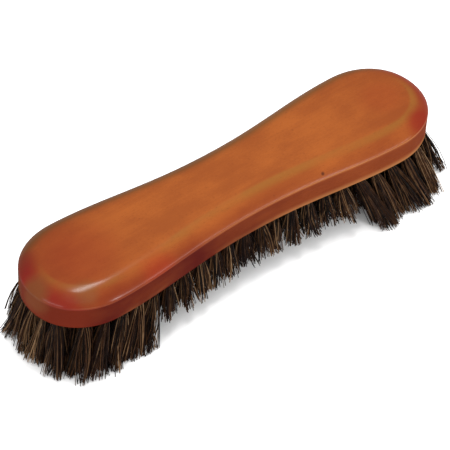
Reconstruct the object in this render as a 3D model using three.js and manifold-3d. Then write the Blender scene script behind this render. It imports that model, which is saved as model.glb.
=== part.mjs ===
// A wooden clothes brush with drawn horsehair tufts.
//
// The sole is a board drilled with cross rows of holes. Each tuft is doubled over a wire that lies in a channel
// across the top of the sole, and the wire holds it up in its hole. The domed back is glued over the channels.
// The tufts at both ends are long and lean outwards, and the tufts between them are trimmed short, so the brush
// stands on its two ends.
//
// Millimetres. X runs along the brush, Y across it and +Z up. The origin is on the surface that the brush stands
// on, under the middle of the wood.
import * as THREE from "three";
import { mergeVertices } from "three/addons/utils/BufferGeometryUtils.js";
import Module from "manifold-3d";

// The outline of the wood, seen from above
const LENGTH = 266.7;
const WIDTH = 64.5;
const WAIST = 50.4;
const LOBE_X = 97.3; // from the middle to the widest part of each end
const END_FULLNESS = 2.08; // 2 would make each end half an ellipse
const WAIST_BLEND = 1.106; // 1 would make the waist a plain cosine curve
const OUTLINE_STEPS = 20; // points on a quarter of the outline

// The wood in section
const SOLE_THICK = 14;
const GLUE_LINE = 0.1;
const BACK_EDGE = 1; // the back's upright edge, between the glue line and the crease under the dome
const DOME_RISE = 7;
const DOME_INSET = 13.5; // from the edge to where the top is flat
const DOME_STEPS = 12; // in a quarter turn of the shoulder's arc
const ARRIS = 0.8; // the eased bottom edge of the sole

// The rows of tufts
const ROWS = 24;
const ROW_PITCH = 10.8;
const TUFT_PITCH = 10.2;
const EDGE_INSET = 5.5; // from the outline to the outermost hole centres
const LONG_FROM_X = 65; // rows further out than this have the long trim
const LONG_TRIM = 36;
const SHORT_TRIM = 25.5;
const HOLE_R = 2.4;
const ROOT_R = 2.05;
const TIP_GAP = 0.4; // between the tips of neighbouring rows
const TIP_OVERLAP = 1.12; // how far the tips in a row run into each other
const TUFT_SIDES = 6;

// How far the tufts lean outwards, as run over drop
const LONG_LEAN_ALONG = 0.32;
const SHORT_LEAN_ALONG = 0.15; // where the short trim ends, and less towards the middle
const LONG_LEAN_ACROSS = 0.14; // the outermost tufts of a row, and less towards its middle
const SHORT_LEAN_ACROSS = 0.1;

// The drawing wires and their channels
const CHANNEL_WIDE = 5.2;
const CHANNEL_DEEP = 3;
const CHANNEL_PAST = 3.6; // past the centre of the outermost tuft
const WIRE_R = 0.4;
const WIRE_LEVEL = 1.2; // the wire's centre, above the channel's floor
const WIRE_PAST = 2.8;
const EYE = 1.4; // the square opening under the fold, where the wire passes
const HEAD_CLEAR = 0.5; // from the top of a tuft to the top of the sole

const SOLE_Z = LONG_TRIM;
const BACK_Z = SOLE_Z + SOLE_THICK + GLUE_LINE;
const CHANNEL_Z = SOLE_THICK - CHANNEL_DEEP; // over the sole's underside
const WIRE_Z = CHANNEL_Z + WIRE_LEVEL;

const wood = { roughness: 0.25, metalness: 0 };
const backWood = new THREE.MeshStandardMaterial({ color: 0xa8582a, ...wood });
const soleWood = new THREE.MeshStandardMaterial({ color: 0x8a3520, ...wood });
const horsehair = new THREE.MeshStandardMaterial({ color: 0x2c231c, roughness: 0.7 });
const brass = new THREE.MeshStandardMaterial({ color: 0xb08d4f, roughness: 0.35, metalness: 1 });

const wasm = await Module();
wasm.setup();

/** A closed three.js geometry as a solid that can be joined and cut. */
function solid(geometry) {
  const bare = geometry.index ? geometry.toNonIndexed() : geometry.clone();
  bare.deleteAttribute("normal");
  bare.deleteAttribute("uv");
  const merged = mergeVertices(bare, 1e-4);
  return new wasm.Manifold(
    new wasm.Mesh({
      numProp: 3,
      vertProperties: merged.attributes.position.array,
      triVerts: new Uint32Array(merged.index.array),
    }),
  );
}

/** A solid as a flat-shaded three.js geometry. */
function geometryOf(made) {
  const mesh = made.getMesh();
  return new THREE.BufferGeometry()
    .setAttribute("position", new THREE.BufferAttribute(mesh.vertProperties, 3))
    .setIndex(new THREE.BufferAttribute(mesh.triVerts, 1));
}

/** Half the width of the outline, drawn in by an inset, at a distance from the middle. */
function halfWidth(x, inset = 0) {
  const wide = WIDTH / 2 - inset;
  const narrow = WAIST / 2 - inset;
  const out = Math.abs(x);
  if (out <= LOBE_X) {
    const turn = Math.PI * (out / LOBE_X) ** WAIST_BLEND;
    return narrow + ((wide - narrow) * (1 - Math.cos(turn))) / 2;
  }
  const along = (out - LOBE_X) / (LENGTH / 2 - inset - LOBE_X);
  return wide * Math.max(0, 1 - along ** END_FULLNESS) ** (1 / END_FULLNESS);
}

/** The outline as a shape. Each quarter has even steps along the waist and even turns round the end. */
function outline() {
  const half = OUTLINE_STEPS / 2;
  const quarter = [];
  for (let i = 0; i < half; i += 1) {
    const x = (LOBE_X * i) / half;
    quarter.push([x, halfWidth(x)]);
  }
  for (let i = 0; i <= half; i += 1) {
    const turn = (Math.PI / 2) * (i / half);
    const power = 2 / END_FULLNESS;
    const x = LOBE_X + (LENGTH / 2 - LOBE_X) * Math.sin(turn) ** power;
    const y = i === half ? 0 : (WIDTH / 2) * Math.cos(turn) ** power;
    quarter.push([x, y]);
  }
  const back = [...quarter].reverse();
  const points = [
    ...quarter,
    ...back.slice(1).map(([x, y]) => [x, -y]),
    ...quarter.slice(1).map(([x, y]) => [-x, -y]),
    ...back.slice(1, -1).map(([x, y]) => [-x, y]),
  ];
  return new THREE.Shape(points.map(([x, y]) => new THREE.Vector2(x, y)).reverse());
}

/** A straight board of the outline, from z = 0 up. */
function board(thickness) {
  return solid(new THREE.ExtrudeGeometry(outline(), { depth: thickness, bevelEnabled: false }));
}

/** The glued-on back: a flat top, and round it a shoulder of one arc that comes down to a crease. */
function backGeometry() {
  const radius = (DOME_INSET ** 2 + DOME_RISE ** 2) / (2 * DOME_RISE);
  const dome = new THREE.ExtrudeGeometry(outline(), {
    depth: 1,
    bevelThickness: radius,
    bevelSize: radius,
    bevelOffset: -DOME_INSET,
    bevelSegments: DOME_STEPS,
  });
  const top = BACK_EDGE + DOME_RISE;
  dome.translate(0, 0, top - radius - 1);
  return geometryOf(board(top).intersect(solid(dome)));
}

/** Whether a row has the long trim. */
function isLong(x) {
  return Math.abs(x) > LONG_FROM_X;
}

/** A row's lean along the brush. */
function leanAlong(x) {
  const lean = isLong(x) ? LONG_LEAN_ALONG : SHORT_LEAN_ALONG * (x / LONG_FROM_X) ** 2;
  return Math.sign(x) * lean;
}

/** The lean across the brush of a row's outermost tufts. */
function leanAcross(x) {
  return isLong(x) ? LONG_LEAN_ACROSS : SHORT_LEAN_ACROSS;
}

/** The rows: where each one is, its trim, and its tufts with their place and lean across the brush. */
function rows() {
  return Array.from({ length: ROWS }, (_, i) => {
    const x = (i - (ROWS - 1) / 2) * ROW_PITCH;
    const edge = halfWidth(x, EDGE_INSET);
    const gaps = Math.max(2, Math.round((2 * edge) / TUFT_PITCH));
    const trim = isLong(x) ? LONG_TRIM : SHORT_TRIM;
    const tufts = Array.from({ length: gaps + 1 }, (_unused, k) => {
      const side = (2 * k) / gaps - 1;
      return { y: side * edge, lean: side * leanAcross(x) };
    });
    return { number: String(i + 1).padStart(2, "0"), x, trim, lean: leanAlong(x), edge, gaps, tufts };
  });
}

/** A leaning bundle, drawn through rings that each have a height, a half length and a half width. */
function bundle(y, leanX, leanY, rings) {
  const geometry = new THREE.CylinderGeometry(1, 1, 1, TUFT_SIDES, rings.length - 1);
  const at = geometry.attributes.position;
  for (let i = 0; i < at.count; i += 1) {
    const ring = rings[Math.round((0.5 - at.getY(i)) * (rings.length - 1))];
    const [z, halfLong, halfWide] = ring;
    at.setXYZ(i, at.getZ(i) * halfLong - z * leanX, at.getX(i) * halfWide + y - z * leanY, z);
  }
  return solid(geometry);
}

/** A row of tufts as one solid: their tips run together. */
function tuftRowGeometry(row) {
  const inner = row.x - Math.sign(row.x) * ROW_PITCH;
  const fanned = isLong(row.x) ? 0 : row.trim * Math.abs(row.lean - leanAlong(inner));
  const tipLong = (ROW_PITCH + fanned - TIP_GAP) / 2;
  const spread = row.edge + row.trim * leanAcross(row.x);
  const tipWide = ((spread / row.gaps) * TIP_OVERLAP) / Math.cos(Math.PI / TUFT_SIDES);
  const top = SOLE_THICK - HEAD_CLEAR;
  const rings = [
    [top, ROOT_R, ROOT_R],
    [0, ROOT_R, ROOT_R],
    [-row.trim, tipLong, tipWide],
  ];
  const tufts = row.tufts.map(({ y, lean }) => bundle(y, row.lean, lean, rings));
  const joined = tufts.reduce((all, tuft) => all.add(tuft));
  const eye = new THREE.BoxGeometry(EYE, 2 * row.edge + 2 * CHANNEL_PAST, EYE);
  eye.translate(-WIRE_Z * row.lean, 0, WIRE_Z);
  return geometryOf(joined.subtract(solid(eye)));
}

/** The drilled and channelled sole. */
function soleGeometry(allRows) {
  const blank = new THREE.ExtrudeGeometry(outline(), {
    depth: SOLE_THICK - 2 * ARRIS,
    bevelThickness: ARRIS,
    bevelSize: ARRIS,
    bevelOffset: -ARRIS,
    bevelSegments: 2,
  });
  blank.translate(0, 0, ARRIS);
  const square = board(SOLE_THICK - 2 * ARRIS).translate([0, 0, 2 * ARRIS]);
  let made = solid(blank).add(square);
  for (const row of allRows) {
    const channel = new THREE.BoxGeometry(CHANNEL_WIDE, 2 * (row.edge + CHANNEL_PAST), 2 * CHANNEL_DEEP);
    channel.translate(row.x - WIRE_Z * row.lean, 0, SOLE_THICK);
    made = made.subtract(solid(channel));
    for (const { y, lean } of row.tufts) {
      const hole = bundle(y, row.lean, lean, [
        [CHANNEL_Z + 1, HOLE_R, HOLE_R],
        [-1, HOLE_R, HOLE_R],
      ]);
      made = made.subtract(hole.translate([row.x, 0, 0]));
    }
  }
  return geometryOf(made);
}

/** One length of drawing wire, straight along its channel. */
function wireGeometry(row) {
  return new THREE.CylinderGeometry(WIRE_R, WIRE_R, 2 * (row.edge + WIRE_PAST), TUFT_SIDES);
}

/** A named mesh in its place. */
function place(name, geometry, material, x, z) {
  const mesh = new THREE.Mesh(geometry, material);
  mesh.name = name;
  mesh.position.set(x, 0, z);
  return mesh;
}

const allRows = rows();
const brush = new THREE.Group();
const handle = new THREE.Group();
handle.add(place("back", backGeometry(), backWood, 0, BACK_Z));
handle.add(place("sole", soleGeometry(allRows), soleWood, 0, SOLE_Z));
const filling = new THREE.Group();
for (const row of allRows) {
  filling.add(place(`tuft_row_${row.number}`, tuftRowGeometry(row), horsehair, row.x, SOLE_Z));
  const wireX = row.x - WIRE_Z * row.lean;
  filling.add(place(`wire_${row.number}`, wireGeometry(row), brass, wireX, SOLE_Z + WIRE_Z));
}
brush.add(handle, filling);

export default brush;
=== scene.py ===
"""A wooden clothes brush with drawn horsehair tufts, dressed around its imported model.

The wood is two glued pieces, a domed back and a drilled sole. Each cross row of tufts is a piece of its own,
made of single hairs that are doubled over the row's drawing wire. The scene is in metres, with X along the
brush and Z up, and the brush stands on the tips of its long tufts at Z = 0.
"""

from __future__ import annotations

import logging
import math
import random
from dataclasses import dataclass, field
from enum import Enum

import bmesh
import bpy
from mathutils import Matrix, Quaternion, Vector

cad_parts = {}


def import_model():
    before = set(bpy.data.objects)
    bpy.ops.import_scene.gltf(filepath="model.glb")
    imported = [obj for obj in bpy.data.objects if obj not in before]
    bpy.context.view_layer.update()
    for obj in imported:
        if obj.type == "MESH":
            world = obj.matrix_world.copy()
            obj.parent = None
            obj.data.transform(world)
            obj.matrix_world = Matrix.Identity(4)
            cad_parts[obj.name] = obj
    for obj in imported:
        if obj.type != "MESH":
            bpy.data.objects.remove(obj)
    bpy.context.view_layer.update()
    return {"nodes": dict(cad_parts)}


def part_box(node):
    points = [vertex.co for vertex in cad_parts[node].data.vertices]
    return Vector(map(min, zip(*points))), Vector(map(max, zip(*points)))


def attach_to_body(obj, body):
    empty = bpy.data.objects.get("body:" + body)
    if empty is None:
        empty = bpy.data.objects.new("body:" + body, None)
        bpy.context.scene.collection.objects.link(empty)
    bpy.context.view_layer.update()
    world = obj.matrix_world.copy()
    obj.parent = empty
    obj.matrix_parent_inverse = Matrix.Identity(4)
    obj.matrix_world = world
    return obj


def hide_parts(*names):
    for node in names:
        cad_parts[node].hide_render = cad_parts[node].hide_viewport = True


MM = 0.001
BODY = "root"
SHORT_NODE = "tuft_row_12"
LONG_NODE = "tuft_row_03"
SHARP_FROM = math.radians(40)

Lean = tuple[float, float]

log = logging.getLogger("brush")


class Wood(Enum):
    """The two pieces of wood, by the record's material slot."""

    BACK = "back_wood"
    SOLE = "sole_wood"


class Trim(Enum):
    """How long the barber leaves a row of tufts."""

    SHORT = "short"
    LONG = "long"


# ----------------------------------------------------------------------------------------------------
# Helpers
# ----------------------------------------------------------------------------------------------------


def linear(hex_colour: str) -> tuple[float, float, float, float]:
    """Turn an sRGB hex colour into the linear colour that a shader takes.

    Args:
        hex_colour: Six hex digits, such as "a8582a".

    Returns:
        Linear red, green and blue from 0 to 1, and an alpha of 1.
    """
    channels = (int(hex_colour[i : i + 2], 16) / 255 for i in (0, 2, 4))
    red, green, blue = (c / 12.92 if c <= 0.04045 else ((c + 0.055) / 1.055) ** 2.4 for c in channels)
    return red, green, blue, 1.0


def add_node(
    tree: bpy.types.NodeTree, kind: str, settings: dict | None = None, **links: object
) -> bpy.types.Node:
    """Add a node with its settings and its inputs.

    Args:
        tree: The node tree that gets the node.
        kind: The node's type, without the leading "ShaderNode".
        settings: The node's own properties, by name.
        **links: Inputs by socket name, with "_" for a space, or "in0" and so on by place. A socket is linked
            to, and anything else is set as the input's value.

    Returns:
        The new node.
    """
    node = tree.nodes.new(f"ShaderNode{kind}")
    for name, value in (settings or {}).items():
        setattr(node, name, value)
    for name, value in links.items():
        by_place = name.startswith("in") and name[2:].isdigit()
        socket = node.inputs[int(name[2:])] if by_place else node.inputs[name.replace("_", " ")]
        if isinstance(value, bpy.types.NodeSocket):
            tree.links.new(value, socket)
        else:
            socket.default_value = value
    return node


def new_material(name: str) -> tuple[bpy.types.Material, bpy.types.NodeTree, bpy.types.Node]:
    """Make a material that holds only its output and its Principled shader.

    Args:
        name: The material's name.

    Returns:
        The material, its node tree and the Principled node.
    """
    material = bpy.data.materials.new(name)
    material.use_nodes = True
    tree = material.node_tree
    tree.nodes.clear()
    shader = add_node(tree, "BsdfPrincipled")
    add_node(tree, "OutputMaterial", Surface=shader.outputs["BSDF"])
    return material, tree, shader


def piece_from(name: str, bm: bmesh.types.BMesh, sharp_from: float = SHARP_FROM) -> bpy.types.Object:
    """Make a smooth-shaded object from a bmesh, with its faces outwards, and free the bmesh.

    Args:
        name: The object's name.
        bm: The finished shape, in place.
        sharp_from: Edges that turn by more than this stay sharp.

    Returns:
        The new object, linked to the scene.
    """
    bmesh.ops.recalc_face_normals(bm, faces=bm.faces)
    mesh = bpy.data.meshes.new(name)
    bm.to_mesh(mesh)
    bm.free()
    mesh.shade_smooth()
    mesh.set_sharp_from_angle(angle=sharp_from)
    piece = bpy.data.objects.new(name, mesh)
    bpy.context.scene.collection.objects.link(piece)
    return piece


def cut(piece: bpy.types.Object, cutter: bpy.types.Object) -> None:
    """Cut one object's shape out of another, and remove the cutter.

    Args:
        piece: The object that is cut.
        cutter: A closed shape, or several that are clear of each other.
    """
    modifier = piece.modifiers.new("cut", "BOOLEAN")
    modifier.operation = "DIFFERENCE"
    modifier.solver = "EXACT"
    modifier.object = cutter
    graph = bpy.context.evaluated_depsgraph_get()
    mesh = bpy.data.meshes.new_from_object(piece.evaluated_get(graph))
    piece.modifiers.clear()
    mesh.name = piece.data.name
    piece.data = mesh
    bpy.data.objects.remove(cutter)


def attach(piece: bpy.types.Object, slot: str, *nodes: str) -> None:
    """Let a piece ride on the brush, in place of the solids that it stands for.

    Args:
        piece: The finished piece.
        slot: The record's material slot. It is not used.
        *nodes: The solids that it replaces.
    """
    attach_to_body(piece, BODY)
    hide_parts(*nodes)
    log.info("%s: %d faces", piece.name, len(piece.data.polygons))


# ----------------------------------------------------------------------------------------------------
# Finishes
# ----------------------------------------------------------------------------------------------------


@dataclass(frozen=True)
class Mark:
    """A small place of another colour, some stained differently and some painted sheen: its centre, reach,
    colour and strength.
    """

    place: tuple[float, float, float]
    reach: float
    colour: str
    share: float


@dataclass(frozen=True)
class LacqueredWood:
    """Close-grained hardwood, moulded and sanded, stained orange brown and sprayed with thin clear lacquer.

    The eye sees a warm, slightly cloudy brown with faint streaks along the grain, under a thin gloss. The
    stain bites deeper and redder where the wood slopes, and most of all where the end grain comes to the
    surface. It went on unevenly: one end of the brush is redder than the other, and a few small places took
    it differently. Light is painted into the colour too: a browner sheen on the near shoulder is a painted
    highlight, the darker back rim is painted shade, a few browner places by the redder end are painted sheen,
    and the pale arris is partly wear and partly a painted highlight.
    """

    name: str
    face_light: str = "8e4b1e"
    face_dark: str = "7e3f19"
    # Painted highlight: the browner sheen laid along the near shoulder.
    shoulder: str = "7c5420"
    slope: str = "68260f"
    end_grain: str = "6e1c12"
    # The pale arris colour: partly worn stain, partly a painted highlight.
    worn_and_highlight: str = "b88450"
    # Painted shade: the darker colour laid along the back rim.
    far_shade: str = "4a3614"
    pore: str = "3c1a0e"
    arris_z: float = 0.0
    arris_wide: float = 0.45 * MM
    arris_wear_and_highlight: float = 0.45
    gloss: float = 0.1
    deep_x: float = -60 * MM
    pale_x: float = 40 * MM
    pale_share: float = 0.35
    lobe_from: float = 45 * MM
    lobe_to: float = 128 * MM
    lobe_most: float = 0.75
    shoulder_sheen_most: float = 0.5
    far_shade_most: float = 0.65
    grain_width: float = 1.3 * MM
    grain_length: float = 60 * MM
    cloud_size: float = 17 * MM
    fleck_width: float = 0.45 * MM
    fleck_length: float = 1.6 * MM
    relief: float = 0.02 * MM
    smear_low: float = 0.36
    smear_high: float = 0.46
    coat_roughness: float = 0.19
    coat_ior: float = 1.9
    marks: tuple[Mark, ...] = ()

    def build(self) -> bpy.types.Material:
        """Build the node material."""
        material, tree, shader = new_material(self.name)
        place = add_node(tree, "TexCoord")
        streaks = self.noise(tree, place, self.grain_length, self.grain_width, 4.0)
        clouds = self.noise(tree, place, 2.0 * self.cloud_size, self.cloud_size, 3.0)
        tree.links.new(self.colour(tree, place, streaks, clouds), shader.inputs["Base Color"])
        bump = add_node(tree, "Bump", Height=streaks, Distance=self.relief, Strength=0.4)
        tree.links.new(bump.outputs[0], shader.inputs["Normal"])
        smear = add_node(
            tree, "MapRange",
            Value=clouds, From_Min=0.3, From_Max=0.7, To_Min=self.smear_low, To_Max=self.smear_high,
        )
        tree.links.new(smear.outputs[0], shader.inputs["Roughness"])
        shader.inputs["IOR"].default_value = 1.5
        shader.inputs["Specular IOR Level"].default_value = 0.0
        shader.inputs["Coat Weight"].default_value = self.gloss
        shader.inputs["Coat Roughness"].default_value = self.coat_roughness
        shader.inputs["Coat IOR"].default_value = self.coat_ior
        return material

    def colour(
        self,
        tree: bpy.types.NodeTree,
        place: bpy.types.Node,
        streaks: bpy.types.NodeSocket,
        clouds: bpy.types.NodeSocket,
    ) -> bpy.types.NodeSocket:
        """Colour the wood: the stained face, the stain on its slopes, and then the small marks.

        Args:
            tree: The material's nodes.
            place: The texture coordinates.
            streaks: The pattern along the grain.
            clouds: The pattern of the uneven stain.

        Returns:
            The base colour.
        """
        at = add_node(tree, "SeparateXYZ", Vector=place.outputs["Object"])
        normal = add_node(tree, "SeparateXYZ", Vector=place.outputs["Normal"])
        flecks = self.noise(tree, place, self.fleck_length, self.fleck_width, 1.0)
        tone = self.blend_sum(tree, clouds, (streaks, 0.22), (flecks, 0.3))
        darker = self.ramp(tree, tone, 0.56, 0.96)
        face = self.mix(tree, darker, linear(self.face_light), linear(self.face_dark))
        depth = self.depth(tree, at, clouds)
        stained = self.stain(tree, at, normal, face, depth, clouds)
        flecked = self.mix(tree, self.ramp(tree, flecks, 0.66, 0.8, 0.3), stained, linear(self.pore))
        marked = self.marked(tree, place, clouds, flecked)
        # A paler arris: partly wear, partly a painted highlight.
        return self.mix(tree, self.wear_and_highlight_share(tree, at, depth), marked, linear(self.worn_and_highlight))

    def stain(
        self,
        tree: bpy.types.NodeTree,
        at: bpy.types.Node,
        normal: bpy.types.Node,
        face: bpy.types.NodeSocket,
        depth: bpy.types.NodeSocket,
        clouds: bpy.types.NodeSocket,
    ) -> bpy.types.NodeSocket:
        """Stain it redder over one end and deep on slopes; paint a near-shoulder highlight and back-rim
        shade.

        Args:
            tree: The material's nodes.
            at: The parts of the place.
            normal: The parts of the normal.
            face: The face's own colour.
            depth: How deep the stain bit.
            clouds: The pattern of the uneven stain.

        Returns:
            The stained colour.
        """
        out = self.size_of(tree, at.outputs["X"])
        lobe = self.ramp(tree, out, self.lobe_from, self.lobe_to, self.lobe_most)
        toned = self.mix(tree, self.times(tree, lobe, depth), face, linear(self.slope))
        # Painted highlight on the near shoulder, cloudy at its edge; thin holds its share.
        turned = self.ramp(tree, normal.outputs["Z"], 0.999, 0.98)
        over = self.times(tree, turned, self.ramp(tree, normal.outputs["Z"], 0.86, 0.97))
        side = self.ramp(tree, normal.outputs["Y"], 0.1, -0.12, self.shoulder_sheen_most)
        thin = self.times(tree, self.times(tree, over, side), self.ramp(tree, clouds, 0.3, 0.65))
        sheened = self.mix(tree, thin, toned, linear(self.shoulder))
        sloping = self.times(tree, self.ramp(tree, normal.outputs["Z"], 0.99, 0.7), depth)
        sloped = self.mix(tree, sloping, sheened, linear(self.slope))
        facing = self.ramp(tree, self.size_of(tree, normal.outputs["X"]), 0.16, 0.62)
        soaked = add_node(tree, "MapRange", Value=depth, To_Min=0.45, To_Max=1.0).outputs[0]
        ended = self.mix(tree, self.times(tree, facing, soaked), sloped, linear(self.end_grain))
        # Painted shade: darker along the back rim, on faces turned away from the camera.
        far_shade = self.ramp(tree, normal.outputs["Y"], 0.15, 0.55, self.far_shade_most)
        return self.mix(tree, far_shade, ended, linear(self.far_shade))

    def wear_and_highlight_share(
        self, tree: bpy.types.NodeTree, at: bpy.types.Node, depth: bpy.types.NodeSocket
    ) -> bpy.types.NodeSocket:
        """How pale the arris gets, partly wear and partly a painted highlight: least where the stain bit
        deepest.
        """
        off = add_node(tree, "Math", {"operation": "SUBTRACT"}, in0=at.outputs["Z"], in1=self.arris_z)
        away = self.size_of(tree, off.outputs[0])
        near = self.ramp(tree, away, self.arris_wide, 0.1 * MM, self.arris_wear_and_highlight)
        bare = add_node(tree, "MapRange", Value=depth, From_Max=0.8, To_Min=1.0, To_Max=0.0).outputs[0]
        return self.times(tree, near, bare)

    def noise(
        self, tree: bpy.types.NodeTree, place: bpy.types.Node, length: float, width: float, detail: float
    ) -> bpy.types.NodeSocket:
        """Noise whose cells are this long along the grain and this wide across it."""
        scale = (1 / length, 1 / width, 1 / width)
        at = add_node(tree, "Mapping", Vector=place.outputs["Object"], Scale=scale)
        return add_node(tree, "TexNoise", Vector=at.outputs[0], Scale=1.0, Detail=detail).outputs["Fac"]

    def blend_sum(
        self,
        tree: bpy.types.NodeTree,
        first: bpy.types.NodeSocket,
        *others: tuple[bpy.types.NodeSocket, float],
    ) -> bpy.types.NodeSocket:
        """The first pattern with a share of each of the others added."""
        total = first
        for pattern, share in others:
            total = add_node(
                tree, "Math", {"operation": "MULTIPLY_ADD"}, in0=pattern, in1=share, in2=total
            ).outputs[0]
        return total

    def ramp(
        self,
        tree: bpy.types.NodeTree,
        value: bpy.types.NodeSocket,
        start: float,
        end: float,
        most: float = 1.0,
    ) -> bpy.types.NodeSocket:
        """Rise smoothly from 0, where the value is at its start, to the most, where it is at its end."""
        return add_node(
            tree, "MapRange", {"interpolation_type": "SMOOTHSTEP"},
            Value=value, From_Min=start, From_Max=end, To_Min=0.0, To_Max=most,
        ).outputs[0]

    def times(self, tree: bpy.types.NodeTree, first: object, second: object) -> bpy.types.NodeSocket:
        """The product of two values."""
        return add_node(tree, "Math", {"operation": "MULTIPLY"}, in0=first, in1=second).outputs[0]

    def size_of(self, tree: bpy.types.NodeTree, value: bpy.types.NodeSocket) -> bpy.types.NodeSocket:
        """A value without its sign."""
        return add_node(tree, "Math", {"operation": "ABSOLUTE"}, in0=value).outputs[0]

    def mix(self, tree: bpy.types.NodeTree, share: object, low: object, high: object) -> bpy.types.NodeSocket:
        """Mix two colours, from all of the first at a share of 0 to all of the second at 1."""
        return add_node(tree, "Mix", {"data_type": "RGBA"}, in0=share, in6=low, in7=high).outputs[2]

    def depth(
        self, tree: bpy.types.NodeTree, at: bpy.types.Node, clouds: bpy.types.NodeSocket
    ) -> bpy.types.NodeSocket:
        """How deep the stain bit: most at the end where it was first laid on, with cloudy edges."""
        paled = add_node(
            tree, "MapRange", {"interpolation_type": "SMOOTHSTEP"},
            Value=at.outputs["X"], From_Min=self.deep_x, From_Max=self.pale_x,
            To_Min=1.0, To_Max=self.pale_share,
        )
        patchy = add_node(
            tree, "MapRange", Value=clouds, From_Min=0.3, From_Max=0.65, To_Min=0.6, To_Max=1.0
        )
        return self.times(tree, paled.outputs[0], patchy.outputs[0])

    def marked(
        self,
        tree: bpy.types.NodeTree,
        place: bpy.types.Node,
        clouds: bpy.types.NodeSocket,
        colour: bpy.types.NodeSocket,
    ) -> bpy.types.NodeSocket:
        """Lay the marks over the wood, each fading out to a cloudy edge.

        Args:
            tree: The material's nodes.
            place: The texture coordinates.
            clouds: The pattern of the uneven stain.
            colour: The colour without the marks.

        Returns:
            The colour with the marks.
        """
        for mark in self.marks:
            away = add_node(
                tree, "VectorMath", {"operation": "DISTANCE"}, in0=place.outputs["Object"], in1=mark.place
            )
            ragged = self.blend_sum(tree, clouds, (away.outputs["Value"], 1 / mark.reach))
            share = self.ramp(tree, ragged, 1.5, 0.8, mark.share)
            colour = self.mix(tree, share, colour, linear(mark.colour))
        return colour


@dataclass(frozen=True)
class Horsehair:
    """Washed and dressed horse tail hair, black mixed with brown and a little grey, cut to length.

    The eye sees dark gaps between coarse straight hairs, each of its own brown, with a dull sheen along it.
    """

    name: str = "horsehair, dressed and cut"
    tone: str = "tone"
    colours: tuple[tuple[float, str], ...] = (
        (0.0, "030201"),
        (0.4, "180a06"),
        (0.62, "3e2614"),
        (0.82, "624830"),
        (1.0, "86694c"),
    )
    patch: float = 3 * MM
    patch_share: float = 0.3

    def build(self) -> bpy.types.Material:
        """Build the node material."""
        material, tree, shader = new_material(self.name)
        place = add_node(tree, "TexCoord")
        tone = add_node(tree, "Attribute", {"attribute_name": self.tone})
        patches = add_node(
            tree, "TexNoise", Vector=place.outputs["Object"], Scale=1 / self.patch, Detail=1.0
        )
        shade = add_node(
            tree, "Math", {"operation": "MULTIPLY_ADD"},
            in0=patches.outputs["Fac"], in1=self.patch_share, in2=tone.outputs["Fac"],
        )
        centred = add_node(
            tree, "Math", {"operation": "SUBTRACT"}, in0=shade.outputs[0], in1=self.patch_share / 2
        )
        ramp = add_node(tree, "ValToRGB", Fac=centred.outputs[0])
        stops = ramp.color_ramp.elements
        while len(stops) < len(self.colours):
            stops.new(0.5)
        for stop, (at, colour) in zip(stops, self.colours):
            stop.position = at
            stop.color = linear(colour)
        tree.links.new(ramp.outputs["Color"], shader.inputs["Base Color"])
        shader.inputs["Roughness"].default_value = 0.5
        shader.inputs["IOR"].default_value = 1.55
        shader.inputs["Specular IOR Level"].default_value = 0.06
        return material


@dataclass(frozen=True)
class DrawnBrass:
    """Brass wire, drawn through a die: a bright yellow metal with fine lines along it."""

    name: str = "brass wire, drawn"
    colour: str = "c9a25c"
    dull: str = "9c7a42"
    line_width: float = 0.1 * MM

    def build(self) -> bpy.types.Material:
        """Build the node material."""
        material, tree, shader = new_material(self.name)
        place = add_node(tree, "TexCoord")
        scale = (1 / self.line_width, 0.05 / self.line_width, 1 / self.line_width)
        at = add_node(tree, "Mapping", Vector=place.outputs["Object"], Scale=scale)
        lines = add_node(tree, "TexNoise", Vector=at.outputs[0], Scale=1.0, Detail=2.0)
        bright, dull = linear(self.colour), linear(self.dull)
        colour = add_node(tree, "Mix", {"data_type": "RGBA"}, in0=lines.outputs["Fac"], in6=bright, in7=dull)
        tree.links.new(colour.outputs[2], shader.inputs["Base Color"])
        shader.inputs["Metallic"].default_value = 1.0
        shader.inputs["Roughness"].default_value = 0.3
        return material


# ----------------------------------------------------------------------------------------------------
# The wood
# ----------------------------------------------------------------------------------------------------


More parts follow.
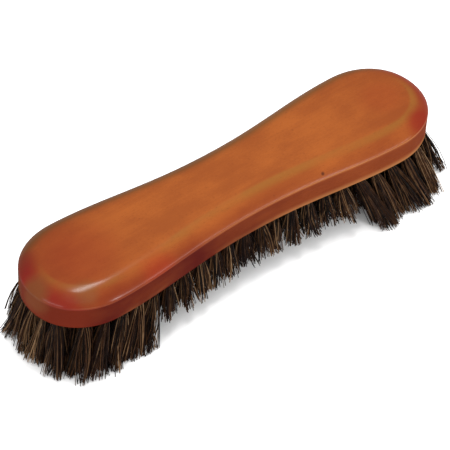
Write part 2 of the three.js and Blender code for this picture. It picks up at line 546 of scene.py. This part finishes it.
@dataclass(frozen=True)
class Outline:
    """The brush's outline from above: two full, rounded lobes joined by a shallow waist."""

    length: float
    width: float
    waist: float = 50.4 * MM
    lobe_x: float = 97.3 * MM
    fullness: float = 2.08
    blend: float = 1.106
    segments: int = 240
    sides_share: float = 0.62

    def half_width(self, x: float, inset: float = 0.0) -> float:
        """Give half the width at a place along the brush.

        Args:
            x: The place along the brush.
            inset: How far the outline is drawn in.

        Returns:
            Half the width there, or 0 past the end.
        """
        wide = self.width / 2 - inset
        narrow = self.waist / 2 - inset
        out = abs(x)
        if out <= self.lobe_x:
            turn = math.pi * (out / self.lobe_x) ** self.blend
            return narrow + (wide - narrow) * (1 - math.cos(turn)) / 2
        along = (out - self.lobe_x) / (self.length / 2 - inset - self.lobe_x)
        return wide * max(0.0, 1 - along**self.fullness) ** (1 / self.fullness)

    def at(self, angle: float) -> tuple[float, float]:
        """Give the point of the outline for an angle round a circle, with its points about evenly spaced.

        Args:
            angle: The angle, in radians.

        Returns:
            X and Y.
        """
        turn = math.asin(min(1.0, abs(math.cos(angle))))
        share = turn / (math.pi / 2)
        if share < self.sides_share:
            x = self.lobe_x * share / self.sides_share
            y = self.half_width(x)
        else:
            bend = math.pi / 2 * (share - self.sides_share) / (1 - self.sides_share)
            power = 2 / self.fullness
            x = self.lobe_x + (self.length / 2 - self.lobe_x) * math.sin(bend) ** power
            y = self.width / 2 * max(0.0, math.cos(bend)) ** power
        return math.copysign(x, math.cos(angle)), math.copysign(y, math.sin(angle))

    def board(self, low: float, high: float) -> bmesh.types.BMesh:
        """Make a straight-sided board of this outline.

        Args:
            low: The height of its underside.
            high: The height of its top.

        Returns:
            The board. Its top is one face.
        """
        bm = bmesh.new()
        bmesh.ops.create_circle(bm, cap_ends=True, segments=self.segments, radius=1.0)
        for vert in bm.verts:
            x, y = self.at(math.atan2(vert.co.y, vert.co.x))
            vert.co = (x, y, low)
        grown = bmesh.ops.extrude_face_region(bm, geom=bm.faces[:], use_keep_orig=True)
        raised = [item for item in grown["geom"] if isinstance(item, bmesh.types.BMVert)]
        bmesh.ops.translate(bm, verts=raised, vec=(0, 0, high - low))
        return bm


def rim(bm: bmesh.types.BMesh, height: float) -> list[bmesh.types.BMEdge]:
    """Find the level edges at a height.

    Args:
        bm: The shape.
        height: The height.

    Returns:
        The edges whose two ends are both at that height.
    """
    return [e for e in bm.edges if all(abs(v.co.z - height) < 1e-6 for v in e.verts)]


def ease(bm: bmesh.types.BMesh, edges: list[bmesh.types.BMEdge], offset: float) -> None:
    """Round an arris over.

    Args:
        bm: The shape.
        edges: The arris.
        offset: How far the rounding reaches on each side.
    """
    bmesh.ops.bevel(
        bm, geom=edges, offset=offset, offset_type="OFFSET", segments=4, profile=0.5,
        affect="EDGES", material=-1,
    )


@dataclass
class Back:
    """The domed cover, glued over the channels: a shoulder of one arc that comes down to a crisp crease."""

    outline: Outline
    seam_z: float
    top_z: float
    dome_rise: float = 7 * MM
    dome_inset: float = 13.5 * MM
    rings: int = 14
    crease_ease: float = 0.6 * MM
    # A small pit, the redder face of one lobe, its dark end, two browner places by it that are painted sheen,
    # a red streak on the near slope, and the other lobe's red corner and redder face.
    marks: tuple[Mark, ...] = (
        Mark((44 * MM, -25.7 * MM, 53.5 * MM), 1.4 * MM, "3c1a0e", 0.8),
        Mark((-100 * MM, 0 * MM, 58 * MM), 28 * MM, "742410", 0.3),
        Mark((-128 * MM, 14 * MM, 53 * MM), 14 * MM, "5c120e", 0.5),
        # Painted sheen: the next two stand for the left lamp's reflection and the fringe of the shoulder
        # highlight.
        Mark((-131 * MM, -2 * MM, 52 * MM), 12 * MM, "5e4420", 0.5),
        Mark((-112 * MM, -21 * MM, 54.5 * MM), 9 * MM, "5e4420", 0.3),
        Mark((-70 * MM, -31 * MM, 54 * MM), 15 * MM, "8c2a14", 0.35),
        Mark((115 * MM, -25 * MM, 53.5 * MM), 14 * MM, "70160e", 0.7),
        Mark((106 * MM, -2 * MM, 58 * MM), 18 * MM, "7c2812", 0.22),
    )

    def build(self) -> bpy.types.Object:
        """Build the cover.

        Returns:
            The finished, dressed piece.
        """
        crease_z = self.top_z - self.dome_rise
        bm = self.outline.board(self.seam_z, crease_z)
        top = max(bm.faces, key=lambda f: f.calc_center_median().z)
        radius = (self.dome_inset**2 + self.dome_rise**2) / (2 * self.dome_rise)
        sweep = math.asin(self.dome_inset / radius)
        done_in = done_up = 0.0
        for ring in range(1, self.rings + 1):
            left = sweep * (1 - ring / self.rings)
            inward = self.dome_inset - radius * math.sin(left)
            upward = self.dome_rise - radius * (1 - math.cos(left))
            bmesh.ops.inset_individual(
                bm, faces=[top], thickness=inward - done_in, use_even_offset=True
            )
            bmesh.ops.translate(bm, verts=top.verts[:], vec=(0, 0, upward - done_up))
            done_in, done_up = inward, upward
        ease(bm, rim(bm, crease_z), self.crease_ease)
        piece = piece_from("domed_back", bm)
        finish = LacqueredWood("hardwood, stained and lacquered, back", arris_z=crease_z, marks=self.marks)
        piece.data.materials.append(finish.build())
        attach(piece, Wood.BACK.value, "back")
        return piece


@dataclass(frozen=True)
class Tuft:
    """One tuft: its hole's mouth, and how far it leans in the hole and past it, as run over drop."""

    x: float
    y: float
    lean: Vector
    splay: Vector


@dataclass(frozen=True)
class Row:
    """One cross row of tufts."""

    number: int
    x: float
    edge: float
    trim: Trim
    tufts: tuple[Tuft, ...]


@dataclass
class Drilling:
    """Where the sole is drilled: evenly pitched cross rows, each spread across the outline."""

    outline: Outline
    rows: int = 24
    pitch: float = 10.8 * MM
    tuft_pitch: float = 10.2 * MM
    inset: float = 5.5 * MM
    long_from: float = 65 * MM
    long_lean: Lean = (0.32, 0.14)
    short_lean: Lean = (0.15, 0.1)
    # The splay along the brush of the innermost and the outermost long row, and across it at a row's ends.
    left_splay: tuple[float, float, float] = (0.35, 0.16, 0.17)
    right_splay: tuple[float, float, float] = (0.42, 0.27, 0.38)
    short_splay: Lean = (0.16, 0.12)
    across_loss: float = 0.5

    def runs(self, x: float, trim: Trim) -> tuple[Lean, Lean]:
        """How far a row leans outwards, as run over drop.

        Args:
            x: The row's place.
            trim: The row's trim.

        Returns:
            The lean of the holes, and the splay of the hair below them. Each is along the brush, and across
            it at the row's ends.
        """
        side = math.copysign(1.0, x)
        if trim is Trim.LONG:
            inner, outer, across = self.left_splay if x < 0 else self.right_splay
            share = (abs(x) - self.long_from) / (self.outline.length / 2 - self.long_from)
            splay = inner + (outer - inner) * share
            across *= 1 - self.across_loss * share
            return (side * self.long_lean[0], self.long_lean[1]), (side * splay, across)
        share = side * (x / self.long_from) ** 2
        lean = (share * self.short_lean[0], self.short_lean[1])
        return lean, (share * self.short_splay[0], self.short_splay[1])

    def layout(self) -> list[Row]:
        """Lay the rows out.

        Returns:
            The rows, from the left end to the right.
        """
        rows = []
        for index in range(self.rows):
            x = (index - (self.rows - 1) / 2) * self.pitch
            edge = self.outline.half_width(x, self.inset)
            gaps = max(2, round(2 * edge / self.tuft_pitch))
            trim = Trim.LONG if abs(x) > self.long_from else Trim.SHORT
            lean, splay = self.runs(x, trim)
            tufts = []
            for k in range(gaps + 1):
                out = 2 * k / gaps - 1
                leaning = Vector((lean[0], out * lean[1]))
                splayed = Vector((splay[0], out * splay[1]))
                tufts.append(Tuft(x, out * edge, leaning, splayed))
            rows.append(Row(index + 1, x, edge, trim, tuple(tufts)))
        return rows


@dataclass
class Sole:
    """The board that holds the hair: drilled from below, with a channel for each wire across its top."""

    outline: Outline
    rows: list[Row]
    base_z: float
    seam_z: float
    arris: float = 1.0 * MM
    hole_radius: float = 2.3 * MM
    channel_wide: float = 5.2 * MM
    channel_deep: float = 3 * MM
    channel_past: float = 3.6 * MM
    wire_above_floor: float = 1.2 * MM
    marks: tuple[Mark, ...] = (
        # Painted sheen: a browner place on the left end of the side, for the left lamp's reflection.
        Mark((-134 * MM, -3 * MM, 46 * MM), 13 * MM, "6e4628", 0.4),
    )

    @property
    def floor_z(self) -> float:
        """The height of the channels' floors."""
        return self.seam_z - self.channel_deep

    @property
    def wire_z(self) -> float:
        """The height of the drawing wires."""
        return self.floor_z + self.wire_above_floor

    def build(self) -> bpy.types.Object:
        """Build the board.

        Returns:
            The finished, dressed piece.
        """
        bm = self.outline.board(self.base_z, self.seam_z)
        ease(bm, rim(bm, self.base_z), self.arris)
        piece = piece_from("drilled_sole", bm)
        cut(piece, self.channels())
        cut(piece, self.holes())
        piece.data.shade_smooth()
        piece.data.set_sharp_from_angle(angle=SHARP_FROM)
        finish = LacqueredWood(
            "hardwood, stained and lacquered, sole",
            face_light="7a3a1a",
            face_dark="6e3116",
            slope="440b07",
            end_grain="5e1e0e",
            gloss=0.03,
            pale_x=75 * MM,
            pale_share=0.15,
            # A pale band along the lower arris: partly wear, partly a painted highlight.
            arris_z=self.base_z,
            arris_wide=5 * MM,
            arris_wear_and_highlight=0.5,
            marks=self.marks,
        )
        piece.data.materials.clear()
        piece.data.materials.append(finish.build())
        attach(piece, Wood.SOLE.value, "sole")
        return piece

    def channels(self) -> bpy.types.Object:
        """Make the cutter for the channels across the top."""
        bm = bmesh.new()
        for row in self.rows:
            shift = (self.wire_z - self.base_z) * row.tufts[0].lean.x
            size = (self.channel_wide, 2 * (row.edge + self.channel_past), 2 * self.channel_deep)
            place = Matrix.Translation((row.x - shift, 0, self.seam_z)) @ Matrix.Diagonal((*size, 1.0))
            bmesh.ops.create_cube(bm, size=1.0, matrix=place)
        return piece_from("channel_cutter", bm)

    def holes(self) -> bpy.types.Object:
        """Make the cutter for the leaning holes."""
        bm = bmesh.new()
        over = 1 * MM
        depth = self.floor_z - self.base_z + 2 * over
        for row in self.rows:
            for tuft in row.tufts:
                lean = Matrix.Identity(4)
                lean[0][2] = -tuft.lean.x
                lean[1][2] = -tuft.lean.y
                place = Matrix.Translation((tuft.x, tuft.y, self.base_z)) @ lean
                place = place @ Matrix.Translation((0, 0, depth / 2 - over))
                bmesh.ops.create_cone(
                    bm, cap_ends=True, segments=24, radius1=self.hole_radius, radius2=self.hole_radius,
                    depth=depth, matrix=place,
                )
        return piece_from("hole_cutter", bm)


# ----------------------------------------------------------------------------------------------------
# The hair
# ----------------------------------------------------------------------------------------------------


@dataclass(frozen=True)
class Lock:
    """A lock of hair in a tuft: where its tips meet, how short it is, its bend and its tone."""

    centre: Vector
    short: float
    bend: Vector
    tone: float


@dataclass
class Filling:
    """The horsehair. Each hair is doubled over its row's wire, so both its ends hang from the same hole."""

    rows: list[Row]
    mouth_z: float
    wire_z: float
    top_z: float
    trim_z: dict[Trim, float]
    pitch: float
    hairs: dict[Trim, int] = field(default_factory=lambda: {Trim.SHORT: 64, Trim.LONG: 86})
    # About twice as thick as real horse hair, with fewer of them, so that single hairs show.
    hair_radius: float = 0.22 * MM
    radius_spread: float = 0.2
    root_radius: float = 1.9 * MM
    wire_clear: float = 0.55 * MM
    locks: int = 18
    lock_pull: float = 0.8
    lock_short: float = 1.8 * MM
    lock_bend: float = 1.3 * MM
    lock_tones: tuple[float, float] = (0.05, 0.88)
    tone_spread: float = 0.09
    tip_spread: float = 0.8
    tip_loose: float = 0.15
    trim_spread: float = 0.6 * MM
    wave_spread: float = 0.25 * MM
    flare: float = 0.9
    fold_rise: float = 0.75
    steps: int = 5
    seed: int = 11
    finish: bpy.types.Material = field(init=False)

    def build(self) -> list[bpy.types.Object]:
        """Build every row.

        Returns:
            One piece for each row.
        """
        self.finish = Horsehair().build()
        return [self.build_row(row) for row in self.rows]

    def build_row(self, row: Row) -> bpy.types.Object:
        """Build one row as single hairs.

        Args:
            row: The row.

        Returns:
            The finished, dressed piece.
        """
        chance = random.Random(self.seed * 1000 + row.number)
        name = f"hair_row_{row.number:02d}"
        curve = bpy.data.curves.new(name, "CURVE")
        curve.dimensions = "3D"
        curve.bevel_depth = 1.0
        curve.bevel_resolution = 0
        curve.use_fill_caps = True
        tones = []
        for tuft in row.tufts:
            locks = [self.lock(chance) for _ in range(self.locks)]
            for _ in range(self.hairs[row.trim]):
                lock = chance.choice(locks)
                tones.append(lock.tone + chance.gauss(0, self.tone_spread))
                self.add_hair(curve, chance, row, tuft, lock)
        shaped = bpy.data.objects.new(name, curve)
        mesh = bpy.data.meshes.new_from_object(shaped)
        mesh.name = name
        bpy.data.objects.remove(shaped)
        bpy.data.curves.remove(curve)
        mesh.shade_smooth()
        mesh.materials.clear()
        mesh.materials.append(self.finish)
        tone = mesh.attributes.new(Horsehair.tone, "FLOAT", "POINT")
        each = len(mesh.vertices) // len(tones)
        tone.data.foreach_set("value", [value for value in tones for _ in range(each)])
        piece = bpy.data.objects.new(name, mesh)
        bpy.context.scene.collection.objects.link(piece)
        attach(piece, "horsehair", f"tuft_row_{row.number:02d}")
        return piece

    def lock(self, chance: random.Random) -> Lock:
        """Choose where one lock of a tuft comes together, how short it is and its tone."""
        angle = chance.uniform(0, 2 * math.pi)
        reach = math.sqrt(chance.random())
        centre = Vector((reach * math.cos(angle), reach * math.sin(angle)))
        bend = Vector((chance.gauss(0, self.lock_bend), chance.gauss(0, self.lock_bend)))
        return Lock(centre, chance.uniform(0, self.lock_short), bend, chance.uniform(*self.lock_tones))

    def add_hair(
        self,
        curve: bpy.types.Curve,
        chance: random.Random,
        row: Row,
        tuft: Tuft,
        lock: Lock,
    ) -> None:
        """Add one hair, from the tip of one leg, over the wire, to the tip of the other.

        Args:
            curve: The curve that holds the row's hairs.
            chance: The row's source of chance.
            row: The row.
            tuft: The tuft.
            lock: The lock that the hair joins.
        """
        fold = self.wire_clear + (self.root_radius - self.wire_clear) * chance.random()
        room = math.sqrt(max(0.0, self.root_radius**2 - fold**2))
        across = chance.uniform(-room, room)
        legs = [self.leg(chance, row, tuft, lock, Vector((side * fold, across))) for side in (-1, 1)]
        rise = min(self.fold_rise * fold, self.top_z - self.wire_z)
        over = self.axis(tuft, self.wire_z) + Vector((0, across, rise))
        points = [*legs[0], over, *reversed(legs[1])]
        radius = self.hair_radius * chance.uniform(1 - self.radius_spread, 1 + self.radius_spread)
        spline = curve.splines.new("POLY")
        spline.points.add(len(points) - 1)
        spline.points.foreach_set("co", [c for p in points for c in (p.x, p.y, p.z, 1.0)])
        spline.points.foreach_set("radius", [radius] * len(points))

    def axis(self, tuft: Tuft, z: float) -> Vector:
        """The tuft's centre at a height, in its hole above the mouth and splayed below it."""
        drop = self.mouth_z - z
        run = tuft.lean if drop < 0 else tuft.splay
        return Vector((tuft.x + run.x * drop, tuft.y + run.y * drop, z))

    def leg(
        self, chance: random.Random, row: Row, tuft: Tuft, lock: Lock, root: Vector
    ) -> list[Vector]:
        """Shape one leg of a hair, from its tip to the wire.

        Args:
            chance: The row's source of chance.
            row: The row.
            tuft: The tuft.
            lock: The lock that the hair joins.
            root: The leg's place in the hole, from the tuft's centre.

        Returns:
            The leg's points, from the tip up.
        """
        own = Vector((root.x, root.y)) / self.root_radius
        slack = self.tip_loose
        loose = Vector((chance.uniform(-slack, slack), chance.uniform(-slack, slack)))
        aim = (own.lerp(lock.centre, self.lock_pull) + loose) * self.tip_spread * self.pitch
        tip_z = self.trim_z[row.trim] + lock.short + chance.uniform(0, self.trim_spread)
        wave = lock.bend + Vector((chance.gauss(0, self.wave_spread), chance.gauss(0, self.wave_spread)))
        points = []
        for step in range(self.steps + 1):
            share = 1 - step / self.steps
            z = self.mouth_z + (tip_z - self.mouth_z) * share
            offset = root.lerp(aim, share**self.flare)
            offset += wave * math.sin(math.pi * share)
            points.append(self.axis(tuft, z) + Vector((offset.x, offset.y, 0)))
        points.append(self.axis(tuft, self.wire_z) + Vector((root.x, root.y, 0)))
        return points


# ----------------------------------------------------------------------------------------------------
# The studio
# ----------------------------------------------------------------------------------------------------


@dataclass(frozen=True)
class Softbox:
    """A rectangular lamp: its place and aim, its two sides, its power and its colour."""

    name: str
    place: tuple[float, float, float]
    aim: tuple[float, float, float]
    size: tuple[float, float]
    power: float
    colour: str = "ffffff"

    def build(self) -> None:
        """Hang the lamp."""
        lamp = bpy.data.lights.new(self.name, "AREA")
        lamp.shape = "RECTANGLE"
        lamp.size, lamp.size_y = self.size
        lamp.energy = self.power
        lamp.color = linear(self.colour)[:3]
        holder = bpy.data.objects.new(self.name, lamp)
        holder.location = self.place
        holder.rotation_euler = (Vector(self.aim) - Vector(self.place)).to_track_quat("-Z", "Y").to_euler()
        bpy.context.scene.collection.objects.link(holder)


@dataclass
class Studio:
    """A plain white table, soft lamps and the camera."""

    camera_azimuth: float = math.radians(-40.608)
    camera_elevation: float = math.radians(46.624)
    camera_roll: float = math.radians(3.424)
    camera_distance: float = 1367.2 * MM
    camera_offset: tuple[float, float] = (-2.178 * MM, -12.322 * MM)
    camera_lens: float = 199.61
    sensor: float = 36.0
    subject: tuple[float, float, float] = (0.0, 0.0, 36 * MM)
    table_size: float = 12.0
    table_colour: str = "fafafa"
    sky: str = "ffffff"
    sky_strength: float = 0.86
    lamps: tuple[Softbox, ...] = (
        Softbox("overhead_strip", (0.06, 0.08, 1.16), (-0.109, -0.02, 0.055), (0.14, 0.6), 10),
        Softbox("left_panel", (-1.5, -0.3, 0.6), (-0.1, 0, 0.04), (0.9, 0.1), 5.5),
        Softbox("front_panel", (0.75, -1.4, 0.5), (0, 0, 0.04), (0.9, 0.1), 6),
        Softbox("front_spot", (0.41, -1.47, 0.59), (-0.07, -0.03, 0.05), (0.25, 0.25), 6),
        Softbox("overhead_panel", (-0.6, -0.9, 1.9), (0, 0, 0.04), (1.4, 1.4), 5),
    )

    def build(self) -> None:
        """Build the table, the lamps, the sky and the camera."""
        self.build_table()
        self.build_sky()
        for lamp in self.lamps:
            lamp.build()
        self.build_camera()

    def build_table(self) -> None:
        """Lay the table top at Z = 0."""
        bm = bmesh.new()
        bmesh.ops.create_grid(bm, x_segments=1, y_segments=1, size=self.table_size / 2)
        table = piece_from("table", bm)
        material, _tree, shader = new_material("paper, matt white")
        shader.inputs["Base Color"].default_value = linear(self.table_colour)
        shader.inputs["Roughness"].default_value = 0.9
        shader.inputs["Specular IOR Level"].default_value = 0.0
        table.data.materials.append(material)

    def build_sky(self) -> None:
        """Light the scene evenly from all round."""
        world = bpy.data.worlds.new("studio")
        world.use_nodes = True
        light = world.node_tree.nodes["Background"]
        light.inputs["Color"].default_value = linear(self.sky)
        light.inputs["Strength"].default_value = self.sky_strength
        bpy.context.scene.world = world

    def build_camera(self) -> None:
        """Set the camera up and make it the scene's own."""
        level = math.cos(self.camera_elevation)
        back = Vector(
            (
                math.sin(self.camera_azimuth) * level,
                -math.cos(self.camera_azimuth) * level,
                math.sin(self.camera_elevation),
            )
        )
        turn = (-back).to_track_quat("-Z", "Y") @ Quaternion((0, 0, 1), self.camera_roll)
        right, up = turn @ Vector((1, 0, 0)), turn @ Vector((0, 1, 0))
        offset = self.camera_offset
        camera = bpy.data.cameras.new("camera")
        camera.lens = self.camera_lens
        camera.sensor_width = self.sensor
        holder = bpy.data.objects.new("camera", camera)
        behind = Vector(self.subject) + back * self.camera_distance
        holder.location = behind + right * offset[0] + up * offset[1]
        holder.rotation_euler = turn.to_euler()
        bpy.context.scene.collection.objects.link(holder)
        bpy.context.scene.camera = holder


# ----------------------------------------------------------------------------------------------------
# The brush
# ----------------------------------------------------------------------------------------------------


def dress_wires(nodes: dict[str, bpy.types.Object], rows: list[Row]) -> None:
    """Give the drawing wires their finish.

    Args:
        nodes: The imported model's nodes, by name.
        rows: The rows of tufts.
    """
    brass = DrawnBrass().build()
    for row in rows:
        node = nodes[f"wire_{row.number:02d}"]
        node.data.materials.clear()
        node.data.materials.append(brass)
        log.info("%s: dressed", node.name)


def main() -> None:
    """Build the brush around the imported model, and then the studio."""
    logging.basicConfig(level=logging.INFO, format="%(name)s: %(message)s")
    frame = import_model()

    back_low, back_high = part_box("back")
    sole_low, sole_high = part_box("sole")
    seam_z = (back_low.z + sole_high.z) / 2
    outline = Outline(length=back_high.x - back_low.x, width=back_high.y - back_low.y)
    drilling = Drilling(outline)
    rows = drilling.layout()

    Back(outline, seam_z, back_high.z).build()
    sole = Sole(outline, rows, sole_low.z, seam_z)
    sole.build()
    short_low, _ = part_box(SHORT_NODE)
    long_low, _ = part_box(LONG_NODE)
    trims = {Trim.SHORT: short_low.z, Trim.LONG: long_low.z}
    Filling(rows, sole_low.z, sole.wire_z, seam_z, trims, drilling.pitch).build()
    dress_wires(frame["nodes"], rows)
    Studio().build()

    bpy.context.scene.view_settings.view_transform = "Standard"


if __name__ == "__main__":
    main()
